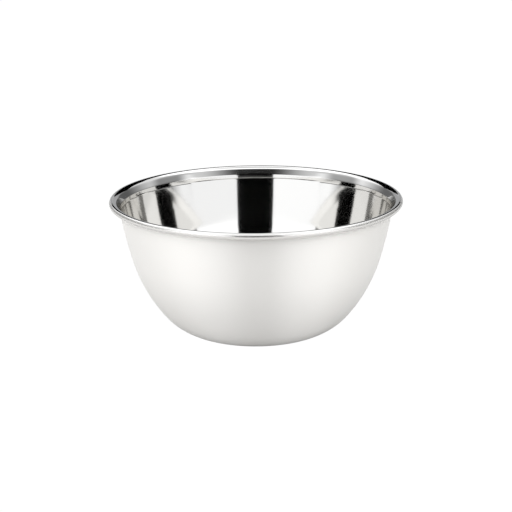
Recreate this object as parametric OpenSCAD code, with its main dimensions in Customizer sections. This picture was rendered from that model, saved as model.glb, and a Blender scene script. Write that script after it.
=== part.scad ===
// Mixing bowl in stainless sheet, standing on a flat foot.
// One sheet runs from the foot up the side, through a crease, a short collar
// and a flared lip, and is rolled outwards round a wire to make the bead.
// Origin: centre of the foot, on the surface that the bowl stands on. +Z up.

/* [Overall] */
// Diameter over the rolled bead
rim_d = 254; // [246:1:262]
// Height from the table to the top of the bead
bowl_h = 119.5; // [115:0.5:126]
// Diameter of the flat foot
foot_d = 92.4; // [88:0.2:97]
// Thickness of the stainless sheet
sheet_t = 0.6; // [0.4:0.1:0.8]

/* [Side] */
// Angle above the table at which the sheet leaves the foot
foot_angle = 4; // [2:0.5:6]
// Outside radius of the knuckle, the tighter curve next to the foot
knuckle_r = 51.5; // [49:0.1:54]
// Angle of the sheet above the table where the knuckle ends
knuckle_angle = 50; // [48:0.5:52]
// Angle of the sheet above the table where the side's round becomes flatter
side_angle = 74.9; // [73:0.1:76]
// Angle of the sheet above the table at the top of the side
upper_angle = 79.5; // [78:0.5:81]

/* [Collar and lip] */
// Width of the lip, from the mouth to the outside of the bead
lip_w = 9.3; // [9:0.1:10.5]
// Height of the collar, the steeper band under the lip
collar_h = 3.3; // [2:0.1:5]
// Angle of the collar above the table
collar_angle = 82; // [81.5:0.5:86]
// Outside radius of the crease between the side and the collar
collar_bend_r = 2; // [1:0.5:6]
// Depth of the lip, from the top of the bead down to the collar
lip_depth = 7.5; // [7:0.1:9]
// Radius of the lip's crest on the side of the mouth
lip_r = 4.6; // [4:0.1:5]
// Radius, under the sheet, of the bend between the collar and the lip
lip_bend_r = 1; // [0.5:0.1:1.5]

/* [Bead] */
// Outside diameter of the rolled bead
bead_d = 5.4; // [5:0.1:5.8]
// How far the sheet is rolled, counted from the top of the bead
roll_angle = 265; // [230:1:266]
// Room between the wire and the sheet rolled round it
wire_gap = 0.1; // [0.05:0.05:0.2]

/* [Hidden] */
$fn = 256;

// How far a straight step along a round stretch may cut inside the true curve
curve_error = 0.01;

bead_r = bead_d / 2;
wire_r = bead_r - sheet_t - wire_gap;
crest_r = rim_d / 2 - bead_r;
mouth_r = rim_d / 2 - lip_w;
bead_c = [crest_r, bowl_h - bead_r];

// Unit vector up the sheet at an angle above the table, and the unit vector
// square to it that points to the inside of the bowl
function along(angle) = [cos(angle), sin(angle)];
function inward(angle) = [-sin(angle), cos(angle)];

// Centres of the lip's crest and of the bend that joins it to the collar.
// Both lie under the sheet.
lip_c = [crest_r, bowl_h - lip_r];
bend_skin_r = lip_bend_r + sheet_t;
bend_c = [mouth_r, bowl_h - lip_depth] - bend_skin_r * inward(collar_angle);

// Angle of the straight flank that touches both of those rounds
flank_run = lip_c - bend_c;
flank_angle = atan2(flank_run[1], flank_run[0]) + asin((lip_r - bend_skin_r) / norm(flank_run));

// Centre of the crease under the collar, inside the bowl
collar_foot = bend_c + lip_bend_r * inward(collar_angle)
    - collar_h / sin(collar_angle) * along(collar_angle);
collar_c = collar_foot + collar_bend_r * inward(collar_angle);

// Knuckle, from the edge of the foot
knuckle_c = [foot_d / 2, 0] + knuckle_r * inward(foot_angle);

// The side is two rounds that touch each other. Their radii are the ones that
// carry the sheet from the end of the knuckle to the crease.
side_start = knuckle_c - knuckle_r * inward(knuckle_angle);
side_top = collar_c - collar_bend_r * inward(upper_angle);
side_run = side_top - side_start;
side_turn = inward(knuckle_angle) - inward(side_angle);
upper_turn = inward(side_angle) - inward(upper_angle);
side_r = cross(side_run, upper_turn) / cross(side_turn, upper_turn);
upper_r = cross(side_turn, side_run) / cross(side_turn, upper_turn);
side_c = side_start + side_r * inward(knuckle_angle);
upper_c = side_top + upper_r * inward(upper_angle);

// Points of a round stretch of the sheet, as the sheet turns from one angle
// above the table to another. A positive radius has its centre inside the
// bowl, a negative one has it under the sheet. depth is how far the points
// lie inwards from the outer face.
function bend(centre, r, from, to, depth) =
    let (
        step = 2 * acos(1 - curve_error / (abs(r) + sheet_t)),
        count = ceil(abs(to - from) / step)
    )
    [for (i = [0:count]) centre - (r - depth) * inward(from + i * (to - from) / count)];

// One face of the sheet, from the axis to the rolled edge
function face(depth) = concat(
    [[0, depth]],
    bend(knuckle_c, knuckle_r, foot_angle, knuckle_angle, depth),
    bend(side_c, side_r, knuckle_angle, side_angle, depth),
    bend(upper_c, upper_r, side_angle, upper_angle, depth),
    bend(collar_c, collar_bend_r, upper_angle, collar_angle, depth),
    bend(bend_c, -lip_bend_r, collar_angle, flank_angle, depth),
    bend(lip_c, sheet_t - lip_r, flank_angle, 0, depth),
    bend(bead_c, sheet_t - bead_r, 0, -roll_angle, depth)
);

function reversed(points) = [for (i = [len(points) - 1:-1:0]) points[i]];

// The bowl itself: foot, side, collar, lip and the outside of the bead
module bowl_shell()
    color("gainsboro")
        rotate_extrude()
            polygon(concat(face(0), reversed(face(sheet_t))));

// Steel wire that the edge of the sheet is rolled round
module rim_wire()
    color("slategray")
        rotate_extrude()
            translate(bead_c)
                circle(r = wire_r);

bowl_shell();
rim_wire();
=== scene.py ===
"""Stainless steel mixing bowl: satin outside, mirror polished inside, rolled bead.

The sheet is drawn as one smooth revolved mesh over the section that the CAD part has,
with the small unevenness that a spun sheet keeps. The wire in the bead is the CAD node.
"""
import math

import bpy
import numpy as np
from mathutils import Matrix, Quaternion, Vector


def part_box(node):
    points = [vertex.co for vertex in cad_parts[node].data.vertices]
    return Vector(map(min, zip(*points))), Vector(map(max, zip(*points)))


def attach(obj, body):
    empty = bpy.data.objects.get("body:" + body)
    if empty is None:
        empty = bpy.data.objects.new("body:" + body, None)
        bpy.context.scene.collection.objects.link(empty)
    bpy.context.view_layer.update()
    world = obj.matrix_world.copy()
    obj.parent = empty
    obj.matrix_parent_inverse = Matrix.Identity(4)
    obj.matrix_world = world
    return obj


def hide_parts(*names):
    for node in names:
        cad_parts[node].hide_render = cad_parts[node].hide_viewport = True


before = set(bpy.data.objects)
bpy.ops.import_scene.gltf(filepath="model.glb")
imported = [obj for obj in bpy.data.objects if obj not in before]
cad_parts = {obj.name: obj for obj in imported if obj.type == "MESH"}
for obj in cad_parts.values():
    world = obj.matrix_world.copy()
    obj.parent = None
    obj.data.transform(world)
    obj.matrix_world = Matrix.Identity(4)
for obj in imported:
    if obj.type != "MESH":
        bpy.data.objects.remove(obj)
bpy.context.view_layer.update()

MM = 0.001

# ---------------------------------------------------------------------------
# Sizes: the outer ones come from the frame, the others are the part's own
# ---------------------------------------------------------------------------
_, shell_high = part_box("bowl_shell")
wire_low, wire_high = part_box("rim_wire")

rim_r = shell_high.x
bowl_h = shell_high.z
wire_r = (wire_high.z - wire_low.z) / 2
bead_centre = np.array([wire_high.x - wire_r, wire_low.z + wire_r])
bead_r = bowl_h - bead_centre[1]

sheet_t = 0.6 * MM
foot_r = 46.2 * MM
foot_angle = 4.0
knuckle_r = 51.5 * MM
knuckle_angle = 50.0
side_angle = 74.9
upper_angle = 79.5
mouth_r = rim_r - 9.3 * MM
collar_h = 3.3 * MM
collar_angle = 82.0
collar_bend_r = 2.0 * MM
lip_depth = 7.5 * MM
lip_r = 4.6 * MM
lip_bend_r = 1.0 * MM
roll_angle = 265.0
# how far round the bead, from its top, the polish of the inside runs
polish_end = 30.0

# Flat steps along each stretch of the section
FOOT_STEPS, KNUCKLE_STEPS, SIDE_STEPS, UPPER_STEPS = 10, 30, 28, 18
CREASE_STEPS, COLLAR_BEND_STEPS, COLLAR_STEPS, LIP_BEND_STEPS = 14, 3, 16, 6
FLANK_STEPS, LIP_STEPS, BEAD_STEPS = 4, 14, 48
# the steps are closer over this last part of the side, in degrees, where the crease lies
CREASE_TURN = 0.25

# Small marks that forming leaves in the sheet
CREASE_DEPTH = 0.03 * MM
CREASE_WIDTH = 0.4 * MM
RIPPLE = 0.04 * MM
RIPPLE_SEED = 11
WAVES_ROUND = (3, 4, 5, 7, 9, 12, 16)
# radians by which a wave swings over the bowl's height, and how much that differs
SWING, SWING_CHANGE = 3, 5
# shares of the height under the lip where the ripple starts, and over which it grows
RIPPLE_START, RIPPLE_GROWTH = 0.1, 0.3


# ---------------------------------------------------------------------------
# Section of the sheet
# ---------------------------------------------------------------------------
def along(angle):
    """Unit vector up the sheet where it stands at this angle above the table."""
    return np.array([math.cos(math.radians(angle)), math.sin(math.radians(angle))])


def inward(angle):
    """Unit vector square to the sheet, towards the inside of the bowl."""
    return np.array([-math.sin(math.radians(angle)), math.cos(math.radians(angle))])


lip_centre = np.array([bead_centre[0], bowl_h - lip_r])
bend_skin_r = lip_bend_r + sheet_t
bend_centre = np.array([mouth_r, bowl_h - lip_depth]) - bend_skin_r * inward(collar_angle)
flank_run = lip_centre - bend_centre
flank_angle = math.degrees(
    math.atan2(flank_run[1], flank_run[0])
    + math.asin((lip_r - bend_skin_r) / np.linalg.norm(flank_run))
)
collar_len = collar_h / math.sin(math.radians(collar_angle))
collar_foot = bend_centre + lip_bend_r * inward(collar_angle) - collar_len * along(collar_angle)
collar_centre = collar_foot + collar_bend_r * inward(collar_angle)
knuckle_centre = np.array([foot_r, 0.0]) + knuckle_r * inward(foot_angle)
side_start = knuckle_centre - knuckle_r * inward(knuckle_angle)
side_top = collar_centre - collar_bend_r * inward(upper_angle)
side_run = side_top - side_start
side_turn = inward(knuckle_angle) - inward(side_angle)
upper_turn = inward(side_angle) - inward(upper_angle)
side_r = np.cross(side_run, upper_turn) / np.cross(side_turn, upper_turn)
upper_r = np.cross(side_turn, side_run) / np.cross(side_turn, upper_turn)
side_centre = side_start + side_r * inward(knuckle_angle)
upper_centre = side_top + upper_r * inward(upper_angle)


def bend(centre, radius, start, end, steps, depth):
    """Points of a round stretch, from one sheet angle to another, at a depth in the sheet.

    A positive radius has its centre inside the bowl, a negative one under the sheet.
    """
    angles = np.linspace(start, end, steps + 1)
    return [centre - (radius - depth) * inward(a) for a in angles]


def straight(start, end, steps):
    """Points inside a straight stretch, without its two ends."""
    return [start + (end - start) * i / steps for i in range(1, steps)]


def face(depth):
    """One face of the sheet, from the axis to the rolled edge, and where its bead starts."""
    last = upper_angle - CREASE_TURN
    knuckle = bend(knuckle_centre, knuckle_r, foot_angle, knuckle_angle, KNUCKLE_STEPS, depth)
    side = bend(side_centre, side_r, knuckle_angle, side_angle, SIDE_STEPS, depth)
    side += bend(upper_centre, upper_r, side_angle, last, UPPER_STEPS, depth)[1:]
    side += bend(upper_centre, upper_r, last, upper_angle, CREASE_STEPS, depth)[1:]
    collar = bend(
        collar_centre, collar_bend_r, upper_angle, collar_angle, COLLAR_BEND_STEPS, depth
    )
    lip_bend = bend(bend_centre, -lip_bend_r, collar_angle, flank_angle, LIP_BEND_STEPS, depth)
    lip = bend(lip_centre, sheet_t - lip_r, flank_angle, 0, LIP_STEPS, depth)
    bead = bend(bead_centre, sheet_t - bead_r, 0, -roll_angle, BEAD_STEPS, depth)
    foot = straight(np.array([0.0, depth]), knuckle[0], FOOT_STEPS)
    body = foot + knuckle + side[1:] + collar[1:]
    body += straight(collar[-1], lip_bend[0], COLLAR_STEPS) + lip_bend
    body += straight(lip_bend[-1], lip[0], FLANK_STEPS) + lip
    points = np.array(body + bead[1:])
    # the crease under the collar is a fine groove pressed outwards
    groove = CREASE_DEPTH * np.exp(-(((points[:, 1] - collar_foot[1]) / CREASE_WIDTH) ** 2))
    groove[len(body):] = 0
    return points + groove[:, None] * -inward(upper_angle), len(body)


outer, outer_bead = face(0.0)
inner, inner_bead = face(sheet_t)


# ---------------------------------------------------------------------------
# The bowl's mesh
# ---------------------------------------------------------------------------
SEGMENTS = 256
# the bowl's material slots
OUTSIDE, INSIDE, RIM, BEAD = 0, 1, 2, 3


def ripple(turn, height):
    """How far the sheet stands off its true round, by angle and height. None at foot and lip."""
    rng = np.random.default_rng(RIPPLE_SEED)
    waves = np.zeros((len(height), len(turn)))
    for count in WAVES_ROUND:
        phase, tilt, rise = rng.uniform(0, 2 * math.pi, 3)
        run = rise + height[:, None] / bowl_h * (SWING + SWING_CHANGE * math.sin(tilt))
        waves += np.cos(count * turn[None, :] + phase) * np.cos(run + tilt) / math.sqrt(count)
    top = bowl_h - lip_depth
    fade = np.clip((height - RIPPLE_START * top) / (RIPPLE_GROWTH * top), 0, 1)
    fade *= np.clip((bowl_h - height) / lip_depth, 0, 1)
    return RIPPLE * waves * fade[:, None]


def revolve(name, outline, zones):
    """A closed shell turned about Z from an outline that starts and ends on the axis."""
    turn = np.arange(SEGMENTS) * 2 * math.pi / SEGMENTS
    rings = len(outline) - 2
    ring = outline[1:-1]
    xyz = np.empty((rings, SEGMENTS, 3))
    radius = ring[:, None, 0] + ripple(turn, ring[:, 1])
    xyz[:, :, 0] = radius * np.cos(turn)
    xyz[:, :, 1] = radius * np.sin(turn)
    xyz[:, :, 2] = ring[:, None, 1]
    verts = [tuple(p) for p in xyz.reshape(-1, 3)]
    first, last = len(verts), len(verts) + 1
    verts += [(0.0, 0.0, outline[0][1]), (0.0, 0.0, outline[-1][1])]
    faces, slots = [], []
    for i in range(rings - 1):
        for j in range(SEGMENTS):
            k = (j + 1) % SEGMENTS
            low, high = i * SEGMENTS, (i + 1) * SEGMENTS
            faces.append((low + j, low + k, high + k, high + j))
            slots.append(zones[i + 1])
    top = (rings - 1) * SEGMENTS
    for j in range(SEGMENTS):
        k = (j + 1) % SEGMENTS
        faces.append((first, k, j))
        slots.append(zones[0])
        faces.append((last, top + j, top + k))
        slots.append(zones[-1])
    mesh = bpy.data.meshes.new(name)
    mesh.from_pydata(verts, [], faces)
    mesh.polygons.foreach_set("material_index", slots)
    mesh.shade_smooth()
    mesh.update()
    obj = bpy.data.objects.new(name, mesh)
    bpy.context.scene.collection.objects.link(obj)
    return obj


outline = np.concatenate([outer, inner[::-1]])
brushed_steps = round(BEAD_STEPS * (1 - polish_end / roll_angle))
# in order: the outside, the hidden face of the roll, the bead that is seen, its polished
# top, the inside
zones = [OUTSIDE] * (outer_bead - 1)
zones += [RIM] * (len(outer) - outer_bead + 1)
zones += [BEAD] * brushed_steps
zones += [RIM] * (len(inner) - inner_bead - brushed_steps)
zones += [INSIDE] * (inner_bead - 1)
bowl = revolve("bowl", outline, zones)


# ---------------------------------------------------------------------------
# Node helper
# ---------------------------------------------------------------------------
class Nodes:
    """Adds nodes to a tree and joins them up. A value is a number or a node's output."""

    def __init__(self, tree):
        self.tree = tree

    def add(self, kind, values=(), **settings):
        node = self.tree.nodes.new("ShaderNode" + kind)
        for key, setting in settings.items():
            setattr(node, key, setting)
        for key, value in dict(values).items():
            self.join(value, node.inputs[key])
        return node

    def join(self, value, socket):
        if isinstance(value, bpy.types.NodeSocket):
            self.tree.links.new(value, socket)
        else:
            socket.default_value = value

    def math(self, operation, *values):
        return self.add("Math", dict(enumerate(values)), operation=operation).outputs[0]

    def ramp(self, value, low, high, start, end, smooth=True):
        kind = "SMOOTHSTEP" if smooth else "LINEAR"
        values = {"Value": value, "From Min": low, "From Max": high, "To Min": start, "To Max": end}
        return self.add("MapRange", values, interpolation_type=kind, clamp=True).outputs[0]

    def split(self, vector):
        return self.add("SeparateXYZ", {0: vector}).outputs

    def vector(self, x, y, z):
        return self.add("CombineXYZ", {0: x, 1: y, 2: z}).outputs[0]

    def noise(self, vector, scale, detail=2.0, roughness=0.5):
        values = {"Vector": vector, "Scale": scale, "Detail": detail, "Roughness": roughness}
        return self.add("TexNoise", values).outputs[0]

    def blend(self, factor, first, second):
        node = self.add("Mix", data_type="RGBA")
        self.join(factor, node.inputs["Factor"])
        self.join(first, node.inputs[6])
        self.join(second, node.inputs[7])
        return node.outputs[2]


# ---------------------------------------------------------------------------
# Materials
# ---------------------------------------------------------------------------
# cloudy patches of the finish in each metre
CLOUD_SCALE = 18.0
# the middle of the noise, which the whole range of roughness is spread over
NOISE_LOW, NOISE_HIGH = 0.3, 0.7
# the radial tangent runs round the axis, a quarter of a turn from the streaks of light
STREAK_TURN = 0.25


def steel(name, tones, roughness, line_mm, line_depth, anisotropy=0.0, metallic=1.0):
    """Bare stainless steel with the fine rings that turning it on a lathe leaves.

    tones are its two colours, roughness its range, line_mm the spacing of the rings and
    line_depth how deep they are, both in millimetres.
    """
    mat = bpy.data.materials.new(name)
    mat.use_nodes = True
    shader = mat.node_tree.nodes["Principled BSDF"]
    nodes = Nodes(mat.node_tree)
    place = nodes.add("TexCoord").outputs["Object"]
    x, y, z = nodes.split(place)
    squares = nodes.math("ADD", nodes.math("MULTIPLY", x, x), nodes.math("MULTIPLY", y, y))
    radius = nodes.math("SQRT", squares)
    divisor = nodes.math("MAXIMUM", radius, MM)
    turn_x = nodes.math("DIVIDE", x, divisor)
    turn_y = nodes.math("DIVIDE", y, divisor)
    travel = nodes.math("MULTIPLY", nodes.math("ADD", radius, z), 1 / (line_mm * MM))
    rings = nodes.noise(nodes.vector(turn_x, turn_y, travel), 1.0, 3.0, 0.6)
    cloud = nodes.noise(place, CLOUD_SCALE, 3.0, 0.55)
    mix = nodes.math("ADD", nodes.math("MULTIPLY", rings, 0.5), nodes.math("MULTIPLY", cloud, 0.5))
    nodes.join(nodes.blend(mix, (*tones[0], 1), (*tones[1], 1)), shader.inputs["Base Color"])
    rough = nodes.ramp(mix, NOISE_LOW, NOISE_HIGH, roughness[0], roughness[1])
    nodes.join(rough, shader.inputs["Roughness"])
    bump = nodes.add("Bump", {"Height": rings, "Distance": line_depth * MM, "Strength": 1.0})
    nodes.join(bump.outputs[0], shader.inputs["Normal"])
    shader.inputs["Metallic"].default_value = metallic
    if anisotropy:
        tangent = nodes.add("Tangent", direction_type="RADIAL", axis="Z")
        nodes.join(tangent.outputs[0], shader.inputs["Tangent"])
        shader.inputs["Anisotropic"].default_value = anisotropy
        shader.inputs["Anisotropic Rotation"].default_value = STREAK_TURN
    return mat


SATIN_TONES = ((0.69, 0.678, 0.655), (0.714, 0.702, 0.679))
MIRROR_TONES = ((0.72, 0.709, 0.685), (0.736, 0.725, 0.701))
POLISHED_TONES = ((0.712, 0.701, 0.677), (0.728, 0.717, 0.693))
WIRE_TONES = ((0.42, 0.42, 0.42), (0.5, 0.5, 0.49))

# the satin scatters half of its light and the brushed steel a little of it
satin = steel(
    "satin_steel",
    SATIN_TONES,
    roughness=(0.5, 0.56),
    line_mm=0.4,
    line_depth=0.0004,
    anisotropy=0.9,
    metallic=0.5,
)
mirror = steel(
    "mirror_steel", MIRROR_TONES, roughness=(0.055, 0.075), line_mm=0.6, line_depth=0.000008
)
polished = steel(
    "polished_steel", POLISHED_TONES, roughness=(0.07, 0.1), line_mm=0.3, line_depth=0.00005
)
brushed = steel(
    "brushed_steel",
    SATIN_TONES,
    roughness=(0.2, 0.26),
    line_mm=0.3,
    line_depth=0.0002,
    metallic=0.85,
)
for mat in (satin, mirror, polished, brushed):
    bowl.data.materials.append(mat)
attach(bowl, "root")
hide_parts("bowl_shell")

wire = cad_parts["rim_wire"]
wire.data.materials.clear()
drawn = steel("drawn_wire", WIRE_TONES, roughness=(0.35, 0.5), line_mm=0.2, line_depth=0.002)
wire.data.materials.append(drawn)


# ---------------------------------------------------------------------------
# Floor and cards
# ---------------------------------------------------------------------------
def card(name, corners, hidden_from, colour=0.0, glow=0.0):
    """A flat stage piece that some kinds of ray don't see. It is black if nothing is said."""
    mesh = bpy.data.meshes.new(name)
    mesh.from_pydata(corners, [], [range(len(corners))])
    obj = bpy.data.objects.new(name, mesh)
    bpy.context.scene.collection.objects.link(obj)
    mat = bpy.data.materials.new(name)
    mat.use_nodes = True
    shader = mat.node_tree.nodes["Principled BSDF"]
    shader.inputs["Base Color"].default_value = (colour, colour, colour, 1)
    shader.inputs["Roughness"].default_value = 1
    shader.inputs["Specular IOR Level"].default_value = 0
    shader.inputs["Emission Color"].default_value = (1, 1, 1, 1)
    shader.inputs["Emission Strength"].default_value = glow
    mesh.materials.append(mat)
    for kind in hidden_from:
        setattr(obj, "visible_" + kind, False)


def level(half, z):
    """Corners of a level square about the origin."""
    return [(-half, -half, z), (half, -half, z), (half, half, z), (-half, half, z)]


# Cards that are only lights, and cards that show only in reflections
LIGHT_ONLY = ("camera", "glossy")
REFLECTION_ONLY = ("camera", "diffuse", "shadow")
FLOOR_HALF = 10

# the camera sees an evenly lit white floor, the bowl sees one with its own soft shadow on it
card("floor", level(FLOOR_HALF, 0), ("diffuse", "glossy", "shadow"), glow=1.02)
card("floor_shade", level(FLOOR_HALF, 0), ("camera",), colour=0.38)

# soft panel overhead, for the floor and the satin
PANEL_HALF, PANEL_HEIGHT = 1.5, 1.8
card("top_panel", level(PANEL_HALF, PANEL_HEIGHT), LIGHT_ONLY, glow=1.55)

# soft fill from both sides, for the satin outside and the floor
FILL_X, FILL_FRONT, FILL_BACK, FILL_LOW, FILL_TOP = 1.2, -1.6, 0.1, 0.2, 1.6
for side, x, fill_glow in (("left", -FILL_X, 7.6), ("right", FILL_X, 6.5)):
    corners = [
        (x, FILL_FRONT, FILL_LOW),
        (x, FILL_BACK, FILL_LOW),
        (x, FILL_BACK, FILL_TOP),
        (x, FILL_FRONT, FILL_TOP),
    ]
    card("fill_" + side, corners, LIGHT_ONLY, glow=fill_glow)

# black flag between the two side panels, straight in front of the object
FLAG_Y = -0.6
FLAG_LEFT, FLAG_RIGHT, FLAG_LOW, FLAG_TOP = -0.188, 0.212, 0.001, 0.77
FLAG_WAIST_LEFT, FLAG_WAIST_RIGHT, FLAG_WAIST, FLAG_SHOULDER = -0.172, 0.186, 0.15, 0.3
flag = [
    (FLAG_WAIST_LEFT, FLAG_Y, FLAG_LOW),
    (FLAG_WAIST_RIGHT, FLAG_Y, FLAG_LOW),
    (FLAG_WAIST_RIGHT, FLAG_Y, FLAG_WAIST),
    (FLAG_RIGHT, FLAG_Y, FLAG_SHOULDER),
    (FLAG_RIGHT, FLAG_Y, FLAG_TOP),
    (FLAG_LEFT, FLAG_Y, FLAG_TOP),
    (FLAG_LEFT, FLAG_Y, FLAG_SHOULDER),
    (FLAG_WAIST_LEFT, FLAG_Y, FLAG_WAIST),
]
card("flag", flag, REFLECTION_ONLY)

# black card above the table behind it
BACK_Y, BACK_HALF, BACK_LOW, BACK_TOP = 0.6, 0.4, 0.28, 0.68
back_flag = [
    (-BACK_HALF, BACK_Y, BACK_LOW),
    (BACK_HALF, BACK_Y, BACK_LOW),
    (BACK_HALF, BACK_Y, BACK_TOP),
    (-BACK_HALF, BACK_Y, BACK_TOP),
]
card("back_flag", back_flag, REFLECTION_ONLY)

# two small grey cards close to its sides, their front and lower edges slightly out of true
SMALL_X = 0.21
SMALL_FRONT_LOW, SMALL_FRONT_TOP, SMALL_BACK = -0.066, -0.056, 0.09
SMALL_LOW_FRONT, SMALL_LOW_BACK, SMALL_TOP = 0.142, 0.14, 0.2
for side, x in (("left", -SMALL_X), ("right", SMALL_X)):
    corners = [
        (x, SMALL_FRONT_LOW, SMALL_LOW_FRONT),
        (x, SMALL_BACK, SMALL_LOW_BACK),
        (x, SMALL_BACK, SMALL_TOP),
        (x, SMALL_FRONT_TOP, SMALL_TOP),
    ]
    card("card_" + side, corners, REFLECTION_ONLY, glow=0.28)

# ---------------------------------------------------------------------------
# Studio round the bowl, by direction. Azimuth is 0 in front of the bowl and grows to its
# right. Angles are in degrees, and a pair of them is where a soft change starts and ends.
# ---------------------------------------------------------------------------
SEAM = (-8, 8)
# side panels: where they get brighter, where they end, and the dark gap between their ends
PANEL_STEP = (13.5, 16.5)
PANEL_END, PANEL_END_SHARE = (35.5, 44.5), 0.55
GAP_END, GAP_SIDES, GAP_SHARE = (35.5, 46.5), (14, 58), 0.04
END_SOFT = 1.2
# walls beside and behind
WALL_START, WALL_SLOPE = 84.0, 0.25
WALL_RISE, WALL_LOW, WALL_HIGH = (22, 40), 0.12, 0.62
PATCH_ROUND, PATCH_SOFT, PATCH_RISE = (103, 160), 7, (9, 31)
LOW_BACK_ROUND, LOW_BACK_TOP, LOW_BACK_LIGHT = (153, 163), (12, 17), 0.35
# where the panels give way to the walls, further forward the higher it is
FAR_ROUND, FAR_SLOPE, FAR_TOP = (68, 86), 0.2, (40, 56)
# bright band above all that, and what is straight overhead
BAND_START, BAND_LIGHT = (45, 49), 1.4
OVERHEAD, OVERHEAD_SHARE = (58, 84), 0.45
# the brightness of the whole studio, and of the plain backdrop that the camera sees
POWER = 1.25
BACKDROP = 1.3

world = bpy.data.worlds.new("studio")
bpy.context.scene.world = world
world.use_nodes = True
sky = Nodes(world.node_tree)
east, north, up = sky.split(sky.add("TexCoord").outputs["Generated"])
azimuth = sky.math("DEGREES", sky.math("ARCTAN2", east, sky.math("MULTIPLY", north, -1.0)))
elevation = sky.math("DEGREES", sky.math("ARCSINE", up))
around = sky.math("ABSOLUTE", azimuth)


def window(value, low, high, soft):
    """1 between two angles and 0 outside them, with soft edges."""
    rise = sky.ramp(value, low - soft, low + soft, 0, 1)
    fall = sky.ramp(value, high - soft, high + soft, 1, 0)
    return sky.math("MULTIPLY", rise, fall)


def sides(left, right):
    """One value on the left of the bowl and another on its right."""
    return sky.ramp(azimuth, *SEAM, left, right)


def shade(light, mask, keep):
    """Darkens the light under a mask, down to this share of it."""
    return sky.math("MULTIPLY", light, sky.ramp(mask, 0, 1, 1, keep, False))


def swap(light, mask, other):
    """Puts another light under a mask."""
    change = sky.math("MULTIPLY", mask, sky.math("SUBTRACT", other, light))
    return sky.math("ADD", light, change)


# two white side panels, the left one a little brighter
light = sides(1.1, 0.99)
# higher up both are brighter, the right one more so
light = swap(light, sky.ramp(elevation, *PANEL_STEP, 0, 1), sides(1.15, 1.2))
# their upper ends are dimmer, and the gap between them is dark there
light = shade(light, window(elevation, *PANEL_END, END_SOFT), PANEL_END_SHARE)
gap = sky.math(
    "MULTIPLY", sky.ramp(around, *GAP_SIDES, 1, 0), window(elevation, *GAP_END, END_SOFT)
)
light = shade(light, gap, GAP_SHARE)
# the unlit walls beside and behind the bowl get lighter higher up, sooner the further back
drop = sky.math("MULTIPLY", sky.math("SUBTRACT", around, WALL_START), WALL_SLOPE)
wall = sky.ramp(sky.math("ADD", elevation, drop), *WALL_RISE, WALL_LOW, WALL_HIGH)
wall = sky.math("MULTIPLY", wall, sides(1.1, 0.8))
# a light patch on each of them
patch = sky.math(
    "MULTIPLY", window(around, *PATCH_ROUND, PATCH_SOFT), sky.ramp(elevation, *PATCH_RISE, 0, 1)
)
wall = swap(wall, patch, sides(1.2, 0.8))
# an even grey low down behind the bowl
low_back = sky.math(
    "MULTIPLY",
    sky.ramp(around, *LOW_BACK_ROUND, 0, 1),
    sky.ramp(elevation, *LOW_BACK_TOP, 1, 0),
)
wall = swap(wall, low_back, LOW_BACK_LIGHT)
reach = sky.math("ADD", around, sky.math("MULTIPLY", elevation, FAR_SLOPE))
far_end = sky.ramp(reach, *FAR_ROUND, 0, 1)
light = swap(light, sky.math("MULTIPLY", far_end, sky.ramp(elevation, *FAR_TOP, 1, 0)), wall)
# brightest above them, and dimmer again straight overhead
light = sky.math("MAXIMUM", light, sky.ramp(elevation, *BAND_START, 0, BAND_LIGHT))
light = sky.math("MULTIPLY", light, sky.ramp(elevation, *OVERHEAD, 1, OVERHEAD_SHARE))
light = sky.math("MULTIPLY", light, POWER)
# the camera looks past all this at its backdrop
backdrop = sky.math("MULTIPLY", sky.add("LightPath").outputs["Is Camera Ray"], BACKDROP)
light = sky.math("MAXIMUM", light, backdrop)
background = world.node_tree.nodes["Background"]
# slightly cool
background.inputs["Color"].default_value = (0.985, 1.0, 1.03, 1)
sky.join(light, background.inputs["Strength"])

# ---------------------------------------------------------------------------
# Camera
# ---------------------------------------------------------------------------
SENSOR_MM, LENS_MM = 36, 115.9
CAMERA_DISTANCE = 1.445
CAMERA_ELEVATION = 15.95
CAMERA_ROLL = 0.464
# the point that the camera stands round, and the point in the middle of its picture
TURN_HEIGHT = 58.4 * MM
AIM_X, AIM_HEIGHT = -0.4 * MM, 66.0 * MM

camera_data = bpy.data.cameras.new("camera")
camera_data.sensor_width = SENSOR_MM
camera_data.lens = LENS_MM
camera_data.clip_end = 100
camera = bpy.data.objects.new("camera", camera_data)
bpy.context.scene.collection.objects.link(camera)
bpy.context.scene.camera = camera

rise = math.radians(CAMERA_ELEVATION)
away = Vector((0, -math.cos(rise), math.sin(rise)))
camera.location = Vector((0, 0, TURN_HEIGHT)) + CAMERA_DISTANCE * away
look = (Vector((AIM_X, 0, AIM_HEIGHT)) - camera.location).to_track_quat("-Z", "Y")
camera.rotation_mode = "QUATERNION"
camera.rotation_quaternion = look @ Quaternion((0, 0, 1), math.radians(-CAMERA_ROLL))

bpy.context.scene.view_settings.view_transform = "Standard"
# light goes round inside the polished wall many times before it leaves the bowl
LIGHT_STEPS = 12
bpy.context.scene.cycles.glossy_bounces = LIGHT_STEPS
bpy.context.scene.cycles.min_light_bounces = LIGHT_STEPS
